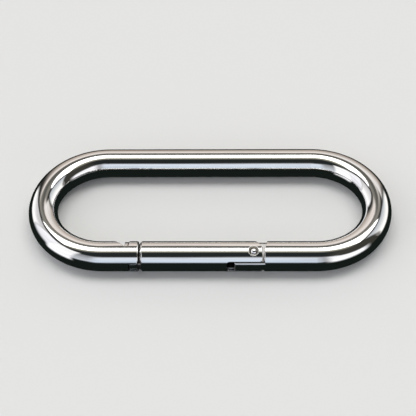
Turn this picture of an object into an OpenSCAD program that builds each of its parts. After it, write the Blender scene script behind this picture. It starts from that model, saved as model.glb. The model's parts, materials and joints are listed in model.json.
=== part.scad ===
// Long oval snap hook bent from round steel rod, with a sprung gate in its near straight.
// The ring lies in the XY plane about the origin: X runs along it, the gate is on the -Y side,
// and the hinge is towards +X. All lengths are millimetres.

/* [Ring] */
// Overall length of the ring
ring_l = 100; // [90:1:140]
// Overall width of the ring
ring_w = 43; // [40:1:60]
// Diameter of the rod
rod_d = 8; // [7.6:0.1:9]

/* [Hinge] */
// Distance of the rivet from the middle of the ring, towards the hinge end
pivot_x = 11.75; // [9:0.25:14]
// Distance of the rivet from the rod's centreline, towards the outside
pivot_out = 1.25; // [0.9:0.05:1.5]
// Diameter of the rivet
rivet_d = 2; // [1.8:0.1:2.3]
// Radius of the rivet's domed ends
dome_r = 1.3; // [1.2:0.05:1.5]
// How far the domes stand above the rod
rivet_proud = 0.05; // [0.05:0.05:0.3]
// Diameter of the flat seat that is milled round each rivet end
seat_d = 2.7; // [2.5:0.05:3]
// Depth of that seat, at the rivet's axis
seat_depth = 0.3; // [0.25:0.05:0.4]
// Radial clearance of the rivet in the tang
rivet_clear = 0.05; // [0.02:0.01:0.1]
// Thickness of the ring's tang
tang_t = 3; // [2.4:0.1:3.4]
// Clearance between the tang and each cheek of the fork
tang_clear = 0.25; // [0.15:0.05:0.4]
// Length of the tang's tail, from the rivet's axis
tail_l = 5.1; // [4.6:0.1:6]
// Height of the tail's round above the rivet's axis, which is the plunger's lever
cam_rise = 1.6; // [1.2:0.1:2]
// Radius on the tail's outer corner
tail_round = 0.8; // [0.4:0.1:1.2]
// Distance from the tail's end to the end of the fork's slot
tail_room = 2; // [1.6:0.1:3]
// Radius in the corners of the fork's slot, and on the cheeks at its mouth
slot_round = 0.8; // [0.4:0.1:1.2]
// Chamfer along the tang's edges
tang_chamfer = 0.25; // [0.1:0.05:0.4]

/* [Stop] */
// Distance from the rivet's axis to the fork's end
heel_l = 2.35; // [2.1:0.05:2.5]
// Slant of the fork's end on the inner side, from square
heel_slant = 34; // [25:1:38]
// Gap between the fork's end and the ring's shoulder on the outer side
heel_gap = 0.4; // [0.3:0.05:0.6]
// Slant of the shoulder, from square
shoulder_slant = 11; // [6:1:16]
// Depth of the square part of the shoulder, measured from the outer side
shoulder_depth = 1.8; // [1:0.1:2.4]

/* [Gate] */
// Distance from the rivet's axis to the gate's nose face
gate_l = 30.05; // [27:0.05:36]
// Seam between the gate's nose face and the ring's nose
nose_gap = 0.45; // [0.35:0.05:0.6]
// Chamfer round the gate's nose face
gate_chamfer = 0.5; // [0.2:0.1:0.8]
// Chamfer round the other end faces
end_chamfer = 0.25; // [0.1:0.05:0.5]

/* [Latch] */
// Length of the ring's nose, from its end face to the hook face
nose_l = 2.6; // [2:0.1:3.4]
// Width of the slot through the nose
nose_slot = 2.3; // [1.8:0.1:2.8]
// Clearance between the gate's tongue and each side of that slot
tongue_clear = 0.2; // [0.1:0.05:0.3]
// Thickness of the gate's T-shaped head
head_t = 0.8; // [0.6:0.1:1.4]
// Clearance of the head to the hook face
head_gap = 0.2; // [0.12:0.02:0.3]
// Clearance of the head to the notch's floor
floor_gap = 0.15; // [0.1:0.05:0.3]
// Height of the notch's floor above the rod's centreline, towards the inside
floor_rise = 0.2; // [0:0.1:0.8]
// Slant of the notch's far side, from square
notch_slant = 45; // [30:1:55]
// How far the head stays inside the rod's round
head_inset = 0.25; // [0.1:0.05:0.5]

/* [Spring] */
// Diameter of the plunger
plunger_d = 2.9; // [2.4:0.1:3]
// Length of the plunger's bearing part
plunger_l = 4; // [3:0.5:6]
// Length of the plunger's spigot inside the spring
spigot_l = 1.5; // [1:0.1:3]
// Chamfer round the plunger's bearing end
plunger_chamfer = 0.3; // [0.1:0.05:0.5]
// Point angle of the drill that made the bore
drill_angle = 118; // [90:2:140]
// Radial clearance of the plunger in its bore
bore_clear = 0.05; // [0.03:0.01:0.1]
// Gap between the plunger and the tail
plunger_gap = 0.04; // [0.02:0.01:0.06]
// Length of the spring as fitted
spring_l = 13; // [11:0.5:16]
// Diameter of the spring's wire
wire_d = 0.5; // [0.3:0.05:0.55]
// Turns of the spring
turns = 10; // [8:1:14]
// Gap between the turns that are closed, at each end
turn_gap = 0.015; // [0.01:0.005:0.03]
// Radial clearance of the spring in its bore
spring_clear = 0.1; // [0.05:0.05:0.2]
// Radial clearance of the spigot in the spring
spigot_clear = 0.1; // [0.05:0.05:0.2]

/* [Hidden] */
$fn = 96;
bend_fn = 64;
plating = [0.80, 0.81, 0.83];
steel = [0.62, 0.62, 0.64];
wire_steel = [0.45, 0.46, 0.50];

// Ring: the rod's radius, the bends' radius at the centreline and the half length of the straights
rod_r = rod_d / 2;
bend_r = (ring_w - rod_d) / 2;
straight_h = ring_l / 2 - rod_r - bend_r;

// The rod's centreline, seen from the rivet's axis
axis_y = pivot_out;

// Rivet: the tilt of the rod's surface at its ends, and the seats and domes measured square to that surface
rivet_r = rivet_d / 2;
surface_tilt = asin(pivot_out / rod_r);
seat_z = rod_r - seat_depth;
dome_z = rod_r + rivet_proud - dome_r;

// Fork and tang
slot_t = tang_t + 2 * tang_clear;
slot_l = tail_l + tail_room;
tang_edge = axis_y - rod_r;
tang_flat = sqrt(pow(rod_r, 2) - pow(tang_t / 2, 2)) - tang_chamfer;
shoulder_x = heel_l + heel_gap;
knee_y = axis_y - rod_r + shoulder_depth;

// Latch: the ring's nose face, the radius of the hook face about the rivet, and the head beyond it
nose_x = -(gate_l + nose_gap);
hook_r = nose_l - nose_x;
head_r = hook_r + head_gap;
head_x = -(head_r + head_t);
tongue_t = nose_slot - 2 * tongue_clear;
tongue_x = -(hook_r - tongue_clear);
head_round = rod_r - head_inset;
tongue_root = 0.5;
head_root = gate_chamfer + tongue_root;
floor_y = axis_y + floor_rise;
notch_x = head_x - floor_gap;

// Spring and plunger, along the gate's own axis
bore_r = plunger_d / 2 + bore_clear;
plunger_x = -(tail_l + plunger_gap);
spring_x = plunger_x - plunger_l;
bore_x = spring_x - spring_l;
drill_tip = bore_r / tan(drill_angle / 2);
coil_r = bore_r - spring_clear - wire_d / 2;
spigot_r = coil_r - wire_d / 2 - spigot_clear;
closed_pitch = wire_d + turn_gap;
open_pitch = (spring_l - wire_d - 2 * closed_pitch) / (turns - 2);
coil_steps = 20;
wire_sides = 8;

// Reach that clears the rod on every side, for cuts and limits
far = 2 * rod_d;

// Puts its children in the ring, with their origin on the rivet's axis
module at_pivot() {
    translate([pivot_x, -bend_r - pivot_out, 0]) children();
}

// Round bar along the near straight from x0 to x1, with a chamfer at each end
module bar(x0, x1, c0 = 0, c1 = 0, r = rod_r) {
    translate([0, axis_y, 0])
        rotate([0, 90, 0])
            rotate_extrude()
                polygon(concat(
                    [[0, x0], [r - c0, x0]],
                    c0 > 0 ? [[r, x0 + c0]] : [],
                    c1 > 0 ? [[r, x1 - c1]] : [],
                    [[r - c1, x1], [0, x1]]
                ));
}

// A flat outline in the plane of the ring, given the thickness t
module plate(t) {
    translate([0, 0, -t / 2]) linear_extrude(t) children();
}

// Ring of a chamfer to take off the rod's end at x; side is the way that the end faces
module end_cut(x, side) {
    translate([x, axis_y, 0])
        rotate([0, 90 * side, 0])
            rotate_extrude()
                polygon([
                    [rod_r - end_chamfer, 0],
                    [rod_r + end_chamfer, 0],
                    [rod_r + end_chamfer, -2 * end_chamfer]
                ]);
}

// Room for the gate: from the nose face to the shoulder, which slants away on the inner side
module gate_room() {
    rise = far - knee_y;
    plate(far)
        polygon([
            [nose_x, -far],
            [shoulder_x, -far],
            [shoulder_x, knee_y],
            [shoulder_x + rise * tan(shoulder_slant), far],
            [nose_x, far]
        ]);
    end_cut(nose_x, 1);
    end_cut(shoulder_x, -1);
}

// Outline of the tang: a flat tail with a rounded outer corner and a round cam towards the inside
module tang_outline() {
    reach = shoulder_x + far * tan(shoulder_slant);
    intersection() {
        translate([0, cam_rise]) circle(tail_l);
        translate([-far, cam_rise]) square([far, far]);
    }
    translate([-tail_l, tang_edge + tail_round]) square([tail_l + reach, cam_rise - tang_edge - tail_round]);
    translate([tail_round - tail_l, tang_edge]) square([tail_l + reach - tail_round, tail_round]);
    translate([tail_round - tail_l, tang_edge + tail_round]) circle(tail_round);
    square([reach, far]);
}

// Transverse notch behind the nose: a round hook face about the rivet, a flat floor and a slanting far side
module notch() {
    rise = far - floor_y;
    difference() {
        plate(far)
            polygon([
                [-hook_r + nose_l / 2, floor_y],
                [notch_x, floor_y],
                [notch_x - rise * tan(notch_slant), far],
                [-hook_r + nose_l / 2, far]
            ]);
        cylinder(h = 2 * far, r = hook_r, center = true);
    }
}

// The rod bent to a closed oval: two straights and two half-round bends
module bent_rod() {
    for (side = [-1, 1]) {
        translate([0, side * bend_r, 0]) rotate([0, 90, 0]) cylinder(h = 2 * straight_h, r = rod_r, center = true);
        translate([side * straight_h, 0, 0])
            rotate([0, 0, -90 * side])
                rotate_extrude(angle = 180, $fn = bend_fn) translate([bend_r, 0]) circle(rod_r, $fn = bend_fn);
    }
}

// The tang: a flat tongue of the rod with chamfered edges
module tang() {
    intersection() {
        bar(-far, shoulder_x + rod_d);
        plate(tang_t) tang_outline();
        translate([-far, axis_y, 0])
            rotate([90, 0, 90])
                linear_extrude(2 * far)
                    polygon([
                        [tang_flat, tang_t / 2],
                        [tang_flat + tang_t / 2, 0],
                        [tang_flat, -tang_t / 2],
                        [-tang_flat, -tang_t / 2],
                        [-tang_flat - tang_t / 2, 0],
                        [-tang_flat, tang_t / 2]
                    ]);
    }
}

// The ring, with its tang and shoulder at one end of the gate's room and the latch nose at the other
module ring_body() {
    color(plating)
        difference() {
            union() {
                difference() {
                    bent_rod();
                    at_pivot() gate_room();
                }
                at_pivot() tang();
            }
            at_pivot() {
                cylinder(h = far, r = rivet_r + rivet_clear, center = true);
                notch();
                translate([-hook_r, -far, -nose_slot / 2]) cube([2 * nose_l, 2 * far, nose_slot]);
            }
        }
}

// Slot of the fork, seen from the outer side, with rounded inner corners
module fork_slot() {
    half = slot_t / 2;
    rotate([90, 0, 0])
        linear_extrude(2 * far, center = true) {
            translate([slot_round - slot_l, -half]) square([far, slot_t]);
            translate([-slot_l, slot_round - half]) square([far, slot_t - 2 * slot_round]);
            for (side = [-1, 1]) {
                translate([slot_round - slot_l, side * (half - slot_round)]) circle(slot_round);
                difference() {
                    translate([heel_l - slot_round, side * half - slot_round / 2]) square([far, slot_round]);
                    translate([heel_l - slot_round, side * (half + slot_round)]) circle(slot_round);
                }
            }
        }
}

// Puts its children at both rivet ends: origin on the rod's axis, Z square to the rod's surface there
module at_rivet_ends() {
    for (side = [-1, 1])
        translate([0, axis_y, 0])
            rotate([side > 0 ? surface_tilt : 180 - surface_tilt, 0, 0])
                children();
}

// Everything above the flat seats, as wide as the diameter d
module above_seats(d) {
    at_rivet_ends() translate([0, 0, seat_z]) cylinder(h = rod_r, d = d);
}

// The fork's end on the inner side, which slants back so that the gate can swing
module heel_cut() {
    rise = far - axis_y;
    plate(far)
        polygon([
            [heel_l, axis_y],
            [heel_l - rise * tan(heel_slant), far],
            [heel_l + far, far],
            [heel_l + far, axis_y]
        ]);
}

// Tongue and T-shaped head at the gate's free end
module latch_head() {
    intersection() {
        bar(tongue_x, head_root - gate_l, r = head_round);
        translate([tongue_x, axis_y - rod_r, -tongue_t / 2]) cube([far, rod_d, tongue_t]);
    }
    intersection() {
        bar(head_x, head_root - gate_l, r = head_round);
        translate([head_x, floor_y + floor_gap, -tongue_t / 2]) cube([far, rod_d, tongue_t]);
    }
    difference() {
        intersection() {
            bar(head_x, tongue_x, r = head_round);
            translate([head_x, floor_y + floor_gap, -rod_r]) cube([far, rod_d, rod_d]);
        }
        cylinder(h = far, r = head_r, center = true);
    }
}

// The gate: a round bar with a fork, a blind bore along its axis and the latch head
module gate() {
    color(plating)
        at_pivot() {
            difference() {
                bar(-gate_l, heel_l, gate_chamfer, end_chamfer);
                fork_slot();
                heel_cut();
                cylinder(h = far, r = rivet_r, center = true);
                above_seats(seat_d);
                translate([bore_x, axis_y, 0])
                    rotate([0, 90, 0])
                        rotate_extrude()
                            polygon([[0, -drill_tip], [bore_r, 0], [bore_r, -bore_x], [0, -bore_x]]);
            }
            latch_head();
        }
}

// The rivet, closed flush with its seats round a low dome at each end
module hinge_rivet() {
    color(steel)
        at_pivot() {
            difference() {
                cylinder(h = rod_d, r = rivet_r, center = true);
                above_seats(rod_d);
            }
            intersection() {
                at_rivet_ends() translate([0, 0, dome_z]) sphere(dome_r);
                above_seats(rod_d);
            }
        }
}

// The plunger, with a spigot that centres the spring
module spring_plunger() {
    r = plunger_d / 2;
    color(steel)
        at_pivot()
            translate([spring_x, axis_y, 0])
                rotate([0, 90, 0])
                    rotate_extrude()
                        polygon([
                            [0, -spigot_l],
                            [spigot_r, -spigot_l],
                            [spigot_r, 0],
                            [r, 0],
                            [r, plunger_l - plunger_chamfer],
                            [r - plunger_chamfer, plunger_l],
                            [0, plunger_l]
                        ]);
}

// Place along the spring after t turns: closed turns at both ends, open ones between
function coil_place(t) =
    wire_d / 2
    + (t < 1 ? t * closed_pitch
       : t < turns - 1 ? closed_pitch + (t - 1) * open_pitch
       : closed_pitch + (turns - 2) * open_pitch + (t - turns + 1) * closed_pitch);

// Point k of the wire's section after t turns
function coil_point(t, k) =
    let (reach = coil_r + cos(k * 360 / wire_sides) * wire_d / 2)
    [
        coil_place(t) + sin(k * 360 / wire_sides) * wire_d / 2,
        reach * cos(t * 360),
        reach * sin(t * 360)
    ];

// The compression spring behind the plunger
module return_spring() {
    steps = turns * coil_steps;
    points = [for (i = [0 : steps]) for (k = [0 : wire_sides - 1]) coil_point(i / coil_steps, k)];
    walls = [
        for (i = [0 : steps - 1])
            for (k = [0 : wire_sides - 1])
                let (next = (k + 1) % wire_sides, here = i * wire_sides, there = here + wire_sides)
                [here + k, there + k, there + next, here + next]
    ];
    start = [for (k = [0 : wire_sides - 1]) k];
    end = [for (k = [wire_sides - 1 : -1 : 0]) steps * wire_sides + k];
    color(wire_steel)
        at_pivot()
            translate([bore_x, axis_y, 0])
                polyhedron(points = points, faces = concat(walls, [start, end]));
}

ring_body();
gate();
hinge_rivet();
spring_plunger();
return_spring();
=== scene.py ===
import json
import math

import bmesh
import bpy
from mathutils import Matrix, Vector


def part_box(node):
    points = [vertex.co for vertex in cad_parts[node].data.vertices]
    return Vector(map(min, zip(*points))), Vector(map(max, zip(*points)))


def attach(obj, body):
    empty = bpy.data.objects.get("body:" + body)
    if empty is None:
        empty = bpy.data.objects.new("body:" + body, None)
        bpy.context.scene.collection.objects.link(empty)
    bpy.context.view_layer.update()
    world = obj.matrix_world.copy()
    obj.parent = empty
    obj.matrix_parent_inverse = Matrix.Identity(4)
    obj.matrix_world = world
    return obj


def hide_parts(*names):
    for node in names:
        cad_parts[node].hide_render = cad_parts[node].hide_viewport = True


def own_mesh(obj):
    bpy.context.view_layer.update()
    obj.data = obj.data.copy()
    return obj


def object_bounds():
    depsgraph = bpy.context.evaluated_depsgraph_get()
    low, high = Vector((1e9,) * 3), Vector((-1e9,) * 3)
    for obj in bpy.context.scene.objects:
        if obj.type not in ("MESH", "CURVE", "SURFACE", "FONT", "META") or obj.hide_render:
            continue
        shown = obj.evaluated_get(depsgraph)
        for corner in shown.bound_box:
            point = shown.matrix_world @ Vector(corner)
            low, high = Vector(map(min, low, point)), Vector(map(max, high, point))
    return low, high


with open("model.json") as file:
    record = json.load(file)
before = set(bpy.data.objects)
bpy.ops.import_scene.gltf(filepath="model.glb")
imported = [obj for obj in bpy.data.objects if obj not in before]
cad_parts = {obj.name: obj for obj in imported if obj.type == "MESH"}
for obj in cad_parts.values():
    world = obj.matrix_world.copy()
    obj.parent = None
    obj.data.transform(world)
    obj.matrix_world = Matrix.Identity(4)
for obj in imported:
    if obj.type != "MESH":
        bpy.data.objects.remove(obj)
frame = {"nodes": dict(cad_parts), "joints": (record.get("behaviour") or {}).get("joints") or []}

# Plated snap hook lying on a pale studio floor. Lengths are metres, and mm turns millimetres into them.
mm = 0.001
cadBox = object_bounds()
print("frame loaded:", ", ".join(sorted(frame["nodes"])))


# An arithmetic sign between two shader values, or a value and a number
def sign(operation, swapped=False):
    def apply(self, other):
        terms = (other, self) if swapped else (self, other)
        return self.shader.add("ShaderNodeMath", {"operation": operation}, terms)
    return apply


# A shader socket that sums can be written with
class Value:
    def __init__(self, shader, socket):
        self.shader = shader
        self.socket = socket

    __add__ = sign("ADD")
    __radd__ = sign("ADD", True)
    __sub__ = sign("SUBTRACT")
    __rsub__ = sign("SUBTRACT", True)
    __mul__ = sign("MULTIPLY")
    __rmul__ = sign("MULTIPLY", True)
    __truediv__ = sign("DIVIDE")
    __rtruediv__ = sign("DIVIDE", True)
    __pow__ = sign("POWER")

    def math(self, operation, *others):
        return self.shader.add("ShaderNodeMath", {"operation": operation}, (self, *others))


# One node tree. add() makes any node from its settings and the values or links of its sockets
class Shader:
    def __init__(self, tree):
        self.tree = tree
        tree.nodes.clear()

    def add(self, kind, settings=None, inputs=(), output=0):
        node = self.tree.nodes.new(kind)
        for name, setting in (settings or {}).items():
            setattr(node, name, setting)
        pairs = inputs.items() if isinstance(inputs, dict) else enumerate(inputs)
        for key, given in pairs:
            if isinstance(given, Value):
                self.tree.links.new(given.socket, node.inputs[key])
            else:
                node.inputs[key].default_value = given
        return Value(self, node.outputs[output]) if node.outputs else node

    def split(self, vector):
        parts = self.add("ShaderNodeSeparateXYZ", inputs=[vector]).socket.node.outputs
        return [Value(self, part) for part in parts]

    def join(self, x, y, z):
        return self.add("ShaderNodeCombineXYZ", inputs=[x, y, z])

    def rise(self, value, low, high):
        settings = {"interpolation_type": "SMOOTHSTEP"}
        return self.add("ShaderNodeMapRange", settings, {"Value": value, "From Min": low, "From Max": high})

    def within(self, value, low, high, soft):
        return self.rise(value, low - soft, low + soft) * (1 - self.rise(value, high - soft, high + soft))

    def mixColour(self, factor, first, second):
        return self.add("ShaderNodeMix", {"data_type": "RGBA"}, {0: factor, 6: first, 7: second}, 2)

    def noise(self, vector, detail):
        inputs = {"Vector": vector, "Scale": 1.0, "Detail": detail, "Roughness": 0.5}
        return self.add("ShaderNodeTexNoise", inputs=inputs)

    # Surface relief, on edges that are rounded by a radius
    def bump(self, height, radius):
        edges = self.add("ShaderNodeBevel", {"samples": 6}, {"Radius": radius})
        inputs = {"Strength": 1.0, "Distance": 1.0, "Height": height, "Normal": edges}
        return self.add("ShaderNodeBump", inputs=inputs)

    # 1 where no other surface is near, 0 deep in a gap
    def openness(self, reach):
        return self.add("ShaderNodeAmbientOcclusion", {"samples": 8}, {"Distance": reach}, "AO")


def opaque(colour):
    return (*colour, 1.0)


def newMaterial(name):
    material = bpy.data.materials.new(name)
    material.use_nodes = True
    return material, Shader(material.node_tree)


def finish(shader, **inputs):
    principled = shader.add("ShaderNodeBsdfPrincipled", inputs=inputs)
    shader.add("ShaderNodeOutputMaterial", inputs={"Surface": principled})


def dress(node, material):
    for slot in frame["nodes"][node].material_slots:
        slot.material = material


# The ring's own measures, from the frame
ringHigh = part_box("ring_body")[1]
rodRadius = ringHigh.z
bendRadius = ringHigh.y - rodRadius
straightHalf = ringHigh.x - ringHigh.y
quarterLength = straightHalf + bendRadius * math.pi / 2
pivot = Vector(next(joint["pos_m"] for joint in frame["joints"] if joint["name"] == "gate_swing"))
print("rod radius", round(rodRadius, 5), "bend radius", round(bendRadius, 5))


# Place in a cross section of the rod: outwards from its centreline, and upwards
class Rod:
    def __init__(self, shader):
        self.shader = shader
        self.x, self.y, self.up = shader.split(shader.add("ShaderNodeTexCoord", output="Object"))
        end = self.x.math("ABSOLUTE")
        past = (end - straightHalf).math("MAXIMUM", 0.0)
        self.outwards = (past * past + self.y * self.y) ** 0.5 - bendRadius
        turned = past.math("ARCTAN2", self.y.math("ABSOLUTE")) * bendRadius
        self.quarter = (end.math("MINIMUM", straightHalf) + turned) * (math.pi / 2 / quarterLength)

    # Noise round the whole ring without a break, with its own length along the rod and width across it
    def noise(self, length, width, detail, roughness):
        lap = 2 * quarterLength / math.pi / length
        first = self.quarter.math("COSINE") * self.y.math("SIGN") * lap
        second = self.quarter.math("SINE") * self.x.math("SIGN") * lap
        place = self.shader.join(first, second, self.outwards / width)
        inputs = {"Vector": place, "W": self.up / width, "Scale": 1.0, "Detail": detail}
        inputs["Roughness"] = roughness
        return self.shader.add("ShaderNodeTexNoise", {"noise_dimensions": "4D"}, inputs)


plating = {
    "colour": (0.83, 0.825, 0.82),
    "streakColour": (0.72, 0.71, 0.70),
    "roughness": 0.045,
    "streakRoughness": 0.05,
    "streakLength": 16 * mm,
    "streakWidth": 0.45 * mm,
    "streakDepth": 0.0008 * mm,
    "streakDetail": (3.0, 0.6),
    "streakLevels": (0.45, 0.75),          # noise levels between which a streak sets in
    "waveLength": 12 * mm,
    "waveWidth": 6 * mm,
    "waveDepth": 0.012 * mm,
    "waveDetail": (1.0, 0.4),
    "edgeRadius": 0.26 * mm,
    # depths under the rod's round surface between which a chamfer, a seat or a cut edge begins
    "chamferFrom": (0.02 * mm, 0.06 * mm),
    "chamferTo": (0.24 * mm, 0.30 * mm),
    "seatFrom": (0.02 * mm, 0.05 * mm),
    "cutFrom": (0.02 * mm, 0.04 * mm),
    # milled faces lie deeper
    "milledColour": (0.88, 0.88, 0.88),
    "milledRoughness": 0.34,
    "milledDepth": (0.50 * mm, 0.70 * mm),
    "millPitch": 0.22 * mm,
    "millWidth": 3 * mm,
    "millDepth": 0.0010 * mm,
    "millDetail": (2.0, 0.5),
    # painted shade: near-black colour where ambient occlusion finds other surfaces close by, in gaps and
    # recesses
    "shadeReach": 0.5 * mm,
    "shadeOpenness": (0.50, 0.95),
    "gapColour": (0.03, 0.03, 0.028),
    "gapRoughness": 0.45,
    # the seam at the latch, with a satin chamfer on each side; painted shade darkens the deep seam and the
    # chamfers' lower part
    "seamPlace": -18.53 * mm,
    "seamHalf": (0.45 * mm, 0.50 * mm),
    "seamLow": (1.3 * mm, 1.9 * mm),       # height under which painted shade darkens it
    # strength of the painted shade on the seam's lower chamfers
    "lowSeamShade": 0.75,
    "chamferHalf": 0.62 * mm,
    "chamferRoughness": 0.20,
    # painted shade inside the gate's fork, and a painted dark line on the tang's outer edges under it
    "forkFrom": 4 * mm,
    "forkDepth": (0.8 * mm, 1.1 * mm),
    "tangEdge": 3.3 * mm,
    "tangHalf": 1.40 * mm,
    # seat round each rivet end
    "seatRadius": (1.37 * mm, 1.40 * mm),
    "seatColour": (0.26, 0.235, 0.20),
    "seatRoughness": 0.30,
}


# Bright plating with drawing streaks along the rod, duller where it was milled, with painted shade in its
# gaps and cuts
def platedSteel(name):
    material, shader = newMaterial(name)
    rod = Rod(shader)

    def past(value, setting):
        return shader.rise(value, *plating[setting])

    streak = rod.noise(plating["streakLength"], plating["streakWidth"], *plating["streakDetail"])
    wave = rod.noise(plating["waveLength"], plating["waveWidth"], *plating["waveDetail"])
    mill = rod.noise(plating["millPitch"], plating["millWidth"], *plating["millDetail"])
    streaky = past(streak, "streakLevels")

    # where the rod was cut
    depth = rodRadius - (rod.outwards * rod.outwards + rod.up * rod.up) ** 0.5
    fromSeam = (rod.x - plating["seamPlace"]).math("ABSOLUTE")
    fromRivet = ((rod.x - pivot.x) ** 2 + (rod.y - pivot.y) ** 2) ** 0.5
    milled = past(depth, "milledDepth")
    chamfer = fromSeam.math("LESS_THAN", plating["chamferHalf"]) * past(depth, "chamferFrom")
    seat = past(depth, "seatFrom") * (1 - past(fromRivet, "seatRadius"))

    # painted shade where no light gets in: ambient occlusion, then the seam, the fork's inside and the
    # tang's edges, all painted dark into the colour
    gap = 1 - past(shader.openness(plating["shadeReach"]), "shadeOpenness")
    gap = gap * (1 - chamfer * (1 - past(depth, "chamferTo")))
    # painted shade deep in the seam at the latch
    seamGapShade = (1 - past(fromSeam, "seamHalf")) * milled
    # painted shade on the seam's chamfers, low on the rod
    low = chamfer * (1 - past(rod.up, "seamLow")) * plating["lowSeamShade"]
    # painted shade deep in the gate's fork, or a painted dark line along the ring's tang edges
    if name == "gatePlating":
        insideShade = past(depth, "forkDepth") * rod.x.math("GREATER_THAN", plating["forkFrom"])
    else:
        edge = rod.up.math("ABSOLUTE").math("GREATER_THAN", plating["tangHalf"])
        edge = edge * rod.outwards.math("GREATER_THAN", plating["tangEdge"])
        insideShade = edge * past(depth, "cutFrom")
    for dark in (seamGapShade, insideShade, low):
        gap = gap.math("MAXIMUM", dark)

    colour = shader.mixColour(streaky, opaque(plating["colour"]), opaque(plating["streakColour"]))
    # the last mix paints near-black shade over the colour wherever the shade mask is set
    for share, piece in ((milled, "milled"), (seat, "seat"), (gap, "gap")):
        colour = shader.mixColour(share, colour, opaque(plating[piece + "Colour"]))
    roughness = streaky * plating["streakRoughness"] + plating["roughness"]
    for share, piece in ((chamfer, "chamfer"), (milled, "milled"), (seat, "seat"), (gap, "gap")):
        roughness = roughness * (1 - share) + share * plating[piece + "Roughness"]
    roundHeight = streak * plating["streakDepth"] + wave * plating["waveDepth"]
    height = roundHeight * (1 - milled) + mill * milled * plating["millDepth"]
    finish(shader, **{
        "Base Color": colour,
        "Roughness": roughness,
        "Metallic": 1.0,
        "Normal": shader.bump(height, plating["edgeRadius"]),
    })
    return material


turned = {
    "ringPitch": 0.12 * mm,
    "ringDepth": 0.0006 * mm,
    "edgeRadius": 0.06 * mm,
    "patch": 1.1 * mm,
    "patchDetail": 3.0,
    "patchLevels": (0.4, 0.7),
    "dullColour": 0.8,        # share of the colour that is left in dull patches
    "dullRoughness": 0.12,
    # colour and roughness of each material
    "rivetPlating": ((0.82, 0.815, 0.81), 0.06),
    "plungerSteel": ((0.52, 0.52, 0.53), 0.18),
    "springWire": ((0.38, 0.38, 0.40), 0.22),
}


# Turned steel: fine rings round the piece's own axis, and a few duller patches
def turnedSteel(name, centre, alongX=False):
    colour, roughness = turned[name]
    material, shader = newMaterial(name)
    x, y, z = shader.split(shader.add("ShaderNodeTexCoord", output="Object"))
    first, second = (y - centre.y, z - centre.z) if alongX else (x - centre.x, y - centre.y)
    travel = x if alongX else (first * first + second * second) ** 0.5
    rings = (travel * (2 * math.pi / turned["ringPitch"])).math("SINE")
    place = shader.join(*(along / turned["patch"] for along in (x, y, z)))
    patches = shader.rise(shader.noise(place, turned["patchDetail"]), *turned["patchLevels"])
    dull = tuple(level * turned["dullColour"] for level in colour)
    finish(shader, **{
        "Base Color": shader.mixColour(patches, opaque(colour), opaque(dull)),
        "Roughness": patches * turned["dullRoughness"] + roughness,
        "Metallic": 1.0,
        "Normal": shader.bump(rings * turned["ringDepth"], turned["edgeRadius"]),
    })
    return material


gateAxis = Vector((0, -bendRadius, 0))
dress("ring_body", platedSteel("ringPlating"))
dress("gate", platedSteel("gatePlating"))
rivetPlating = turnedSteel("rivetPlating", pivot)
dress("spring_plunger", turnedSteel("plungerSteel", gateAxis, alongX=True))
dress("return_spring", turnedSteel("springWire", gateAxis, alongX=True))
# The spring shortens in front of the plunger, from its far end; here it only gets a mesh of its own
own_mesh(frame["nodes"]["return_spring"])
print("metal finishes done")


rivet = {
    "shankRadius": 1.0 * mm,
    "shankLength": 6.2 * mm,
    "domeRadius": 1.05 * mm,
    "domeTop": 4.15 * mm,         # from the rod's centreline
    "domeFoot": 3.60 * mm,
    "around": 64,
    "rings": 48,
}


# Turns a shape on the rod's axis so that its top stands square to the rod's surface over the pivot
def overPivot(side):
    tilt = math.asin((-bendRadius - pivot.y) / rodRadius)
    turn = Matrix.Rotation(tilt if side > 0 else math.pi - tilt, 4, "X")
    return Matrix.Translation((pivot.x, -bendRadius, 0)) @ turn


# The rivet with its ends closed to round domes
def makeRivet():
    shape = bmesh.new()
    for side in (1, -1):
        radius = rivet["domeRadius"]
        dome = bmesh.ops.create_uvsphere(shape, u_segments=rivet["around"], v_segments=rivet["rings"],
                                         radius=radius)["verts"]
        stand = overPivot(side)
        lift = Matrix.Translation((0, 0, rivet["domeTop"] - radius))
        bmesh.ops.transform(shape, matrix=stand @ lift, verts=dome)
        foot = stand @ Vector((0, 0, rivet["domeFoot"]))
        outwards = (stand @ Vector((0, 0, 1)) - stand @ Vector((0, 0, 0))).normalized()
        faces = {face for vert in dome for face in vert.link_faces}
        edges = {edge for vert in dome for edge in vert.link_edges}
        cut = bmesh.ops.bisect_plane(shape, geom=[*dome, *edges, *faces], plane_co=foot,
                                     plane_no=outwards, clear_inner=True)
        rim = [part for part in cut["geom_cut"] if isinstance(part, bmesh.types.BMEdge)]
        bmesh.ops.contextual_create(shape, geom=rim)
    radius = rivet["shankRadius"]
    bmesh.ops.create_cone(shape, cap_ends=True, segments=rivet["around"], radius1=radius, radius2=radius,
                          depth=rivet["shankLength"], matrix=Matrix.Translation(pivot))
    for face in shape.faces:
        face.smooth = len(face.verts) < 5
    mesh = bpy.data.meshes.new("closedRivet")
    shape.to_mesh(mesh)
    shape.free()
    mesh.materials.append(rivetPlating)
    piece = bpy.data.objects.new("closedRivet", mesh)
    bpy.context.scene.collection.objects.link(piece)
    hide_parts("hinge_rivet")
    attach(piece, "gate")


makeRivet()
print("rivet done")


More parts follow.
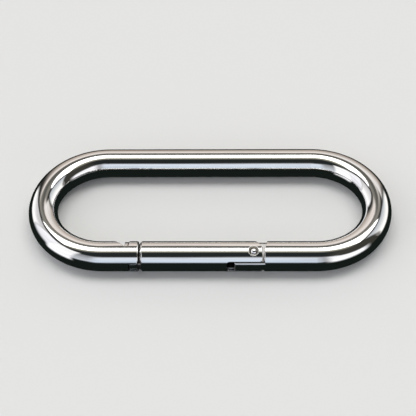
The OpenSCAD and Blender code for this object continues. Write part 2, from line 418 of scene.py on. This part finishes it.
# Studio: a softbox overhead and pale panels round the hook, seen only in its plating and on the floor.
# The ceiling is one unit above the hook, and back is away from the camera
studio = {
    "floorHalf": 3.0,
    "floorColour": (0.86, 0.86, 0.855),
    "floorRoughness": 0.75,
    "sheet": (0.009, 0.013, 0.011),        # what the plating mirrors below the horizon
    "horizonSoft": 2,                      # degrees
    "ceilingFront": (0.020, 0.024, 0.024),
    "ceilingRight": (0.052, 0.050, 0.042),
    "rightFrom": (0.15, 0.45),
    "ceilingBack": (0.130, 0.125, 0.110),
    "backFrom": (0.1, 0.4),
    "ceilingBackSides": (0.27, 0.26, 0.23),
    "backSidesFrom": (0.08, 0.3),
    "ceilingEnds": (0.035, 0.035, 0.033),
    "endsFrom": (0.44, 0.60),
    # light that the softbox spills on the ceiling in front of it
    "spillColour": (0.60, 0.58, 0.48),
    "spillFrom": (-0.30, 0),
    "spillTo": (0.3, 0.8),
    # the softbox, by the places of its edges, the back one bowed
    "boxLeft": 0.61,
    "boxRight": 0.70,
    "boxFront": 0.015,
    "boxBack": 0.47,
    "boxBow": 0.23,
    "bowReach": (0.05, 0.55),
    "boxSoft": 0.035,
    "boxColour": (3.2, 3.2, 3.15),
    "boxLift": (0, 0.1),                   # height over the horizon at which it sets in
    "lowestLift": 0.01,
}


# Panels in degrees: round from the left over the back, the foot, the head at both ends, and the softness
# of each of these, with the colours at the foot and at the head
panels = {
    "left": {
        "round": (-12, 20), "foot": 2, "head": (49, 47), "soft": (5, 10, 2),
        "low": (0.98, 0.99, 1.05), "top": (1.15, 1.15, 1.20),
    },
    "leftBack": {
        "round": (20, 52), "foot": 0, "head": (47, 41), "soft": (3, 5, 3),
        "low": (1.40, 1.38, 1.38), "top": (0.72, 0.71, 0.72),
    },
    "back": {
        "round": (64, 108), "foot": -3, "head": (42, 45), "soft": (7, 8, 2.5),
        "low": (0.46, 0.39, 0.33), "top": (1.00, 0.92, 0.87),
    },
    "backRight": {
        "round": (98, 125), "foot": -4, "head": (44.5, 34), "soft": (5, 8, 2.5),
        "low": (0.44, 0.37, 0.32), "top": (1.00, 0.96, 0.93),
    },
    "right": {
        "round": (131, 175), "foot": 0, "head": (39, 49), "soft": (4, 5, 3),
        "low": (1.40, 1.38, 1.34), "top": (0.62, 0.66, 0.70),
    },
    "rightLow": {
        "round": (174, 206), "foot": 4, "head": (22, 18), "soft": (4, 4, 4),
        "low": (0.30, 0.29, 0.27), "top": (0.25, 0.24, 0.23),
    },
    "frontLeft": {
        "round": (-100, -37), "foot": 3, "head": (40, 47), "soft": (3, 5, 4),
        "low": (0.70, 0.74, 0.80), "top": (0.34, 0.35, 0.37),
    },
    "frontRight": {
        "round": (-124, -90), "foot": 3, "head": (38, 45), "soft": (4, 4, 3),
        "low": (0.45, 0.46, 0.48), "top": (0.40, 0.41, 0.43),
    },
    "front": {
        "round": (-99, -72), "foot": -0.5, "head": (38, 38), "soft": (8, 7, 4),
        "low": (0.72, 0.83, 0.97), "top": (0.84, 0.91, 1.02),
    },
    "leftFront": {
        "round": (-46, -10), "foot": -15, "head": (51, 49), "soft": (4, 8, 2),
        "low": (1.25, 1.25, 1.30), "top": (1.2, 1.2, 1.2),
    },
    "rightFront": {
        "round": (-161, -110), "foot": -6, "head": (15.5, 38), "soft": (8, 8, 4),
        "low": (1.30, 1.30, 1.35), "top": (1.20, 1.20, 1.25),
    },
}


# The world's light with one upright panel in front of it
def standPanel(shader, panel, around, high, light):
    softRound, softFoot, softHead = panel["soft"]
    start, end = panel["round"]
    place = shader.add("ShaderNodeMapRange", inputs={"Value": around, "From Min": start, "From Max": end})
    head = place * (panel["head"][1] - panel["head"][0]) + panel["head"][0]
    stands = shader.within(around, start, end, softRound)
    stands = stands * shader.rise(high, panel["foot"] - softFoot, panel["foot"] + softFoot)
    stands = stands * (1 - shader.rise(high - head, -softHead, softHead))
    colour = shader.mixColour(shader.rise(high / head, 0, 1), opaque(panel["low"]), opaque(panel["top"]))
    return shader.mixColour(stands, light, colour)


def makeWorld():
    world = bpy.data.worlds.new("studioLight")
    world.use_nodes = True
    bpy.context.scene.world = world
    shader = Shader(world.node_tree)
    x, y, z = shader.split(shader.add("ShaderNodeTexCoord", output="Generated"))
    degrees = 180 / math.pi
    high = z.math("ARCSINE") * degrees
    around = y.math("ARCTAN2", x * -1) * degrees
    lift = z.math("MAXIMUM", studio["lowestLift"])
    across = (x / lift).math("ABSOLUTE")
    backwards = y / lift

    def past(value, setting):
        return shader.rise(value, *studio[setting])

    # a ceiling colour that sets in over another
    def over(light, share, name):
        return shader.mixColour(share, light, opaque(studio[name]))

    light = over(opaque(studio["ceilingFront"]), past(x, "rightFrom"), "ceilingRight")
    light = over(light, past(backwards, "spillFrom") * (1 - past(across, "spillTo")), "spillColour")
    back = over(opaque(studio["ceilingBack"]), past(across, "backSidesFrom"), "ceilingBackSides")
    back = over(back, past(across, "endsFrom"), "ceilingEnds")
    light = shader.mixColour(past(backwards, "backFrom"), light, back)
    soft = studio["horizonSoft"]
    light = shader.mixColour(shader.rise(high, -soft, soft), opaque(studio["sheet"]), light)
    for panel in panels.values():
        light = standPanel(shader, panel, around, high, light)

    soft = studio["boxSoft"]
    box = shader.within(x / lift, -studio["boxLeft"], studio["boxRight"], soft) * past(z, "boxLift")
    backEdge = backwards - past(across, "bowReach") * studio["boxBow"]
    box = box * shader.rise(backwards, studio["boxFront"] - soft, studio["boxFront"] + soft)
    box = box * (1 - shader.rise(backEdge, studio["boxBack"] - soft, studio["boxBack"] + soft))
    background = shader.add("ShaderNodeBackground", inputs={"Color": over(light, box, "boxColour")})
    shader.add("ShaderNodeOutputWorld", inputs={"Surface": background})


def makeFloor():
    mesh = bpy.data.meshes.new("studioFloor")
    shape = bmesh.new()
    bmesh.ops.create_grid(shape, x_segments=1, y_segments=1, size=studio["floorHalf"])
    bmesh.ops.translate(shape, verts=shape.verts, vec=(0, 0, cadBox[0].z))
    shape.to_mesh(mesh)
    shape.free()
    floor = bpy.data.objects.new("studioFloor", mesh)
    bpy.context.scene.collection.objects.link(floor)
    floor.visible_glossy = False        # the plating mirrors dark card under it, as on a dark sheet
    material, shader = newMaterial("palePaper")
    finish(shader, **{"Base Color": opaque(studio["floorColour"]), "Roughness": studio["floorRoughness"]})
    mesh.materials.append(material)


# Camera from the front, about 47 degrees above, turned and rolled a little
camera = {
    "aim": Vector((-0.5 * mm, 0, 0)),
    "distance": 322.7 * mm,
    "azimuth": math.radians(1.39),
    "elevation": math.radians(47.15),
    "roll": math.radians(-1.08),
    "lens": 101.1,
    "sensor": 36.0,
}


def makeCamera():
    data = bpy.data.cameras.new("photoCamera")
    data.lens = camera["lens"]
    data.sensor_width = camera["sensor"]
    data.clip_start = 0.01
    data.clip_end = 20
    turn, lift = camera["azimuth"], camera["elevation"]
    back = Vector((math.sin(turn) * math.cos(lift), -math.cos(turn) * math.cos(lift), math.sin(lift)))
    level = Vector((math.cos(turn), math.sin(turn), 0))
    right = level * math.cos(camera["roll"]) + back.cross(level) * math.sin(camera["roll"])
    matrix = Matrix((right, back.cross(right), back)).transposed().to_4x4()
    matrix.translation = camera["aim"] + back * camera["distance"]
    holder = bpy.data.objects.new("photoCamera", data)
    holder.matrix_world = matrix
    bpy.context.scene.collection.objects.link(holder)
    bpy.context.scene.camera = holder


makeWorld()
makeFloor()
makeCamera()
bpy.context.scene.view_settings.view_transform = "Standard"
print("studio, floor and camera done")
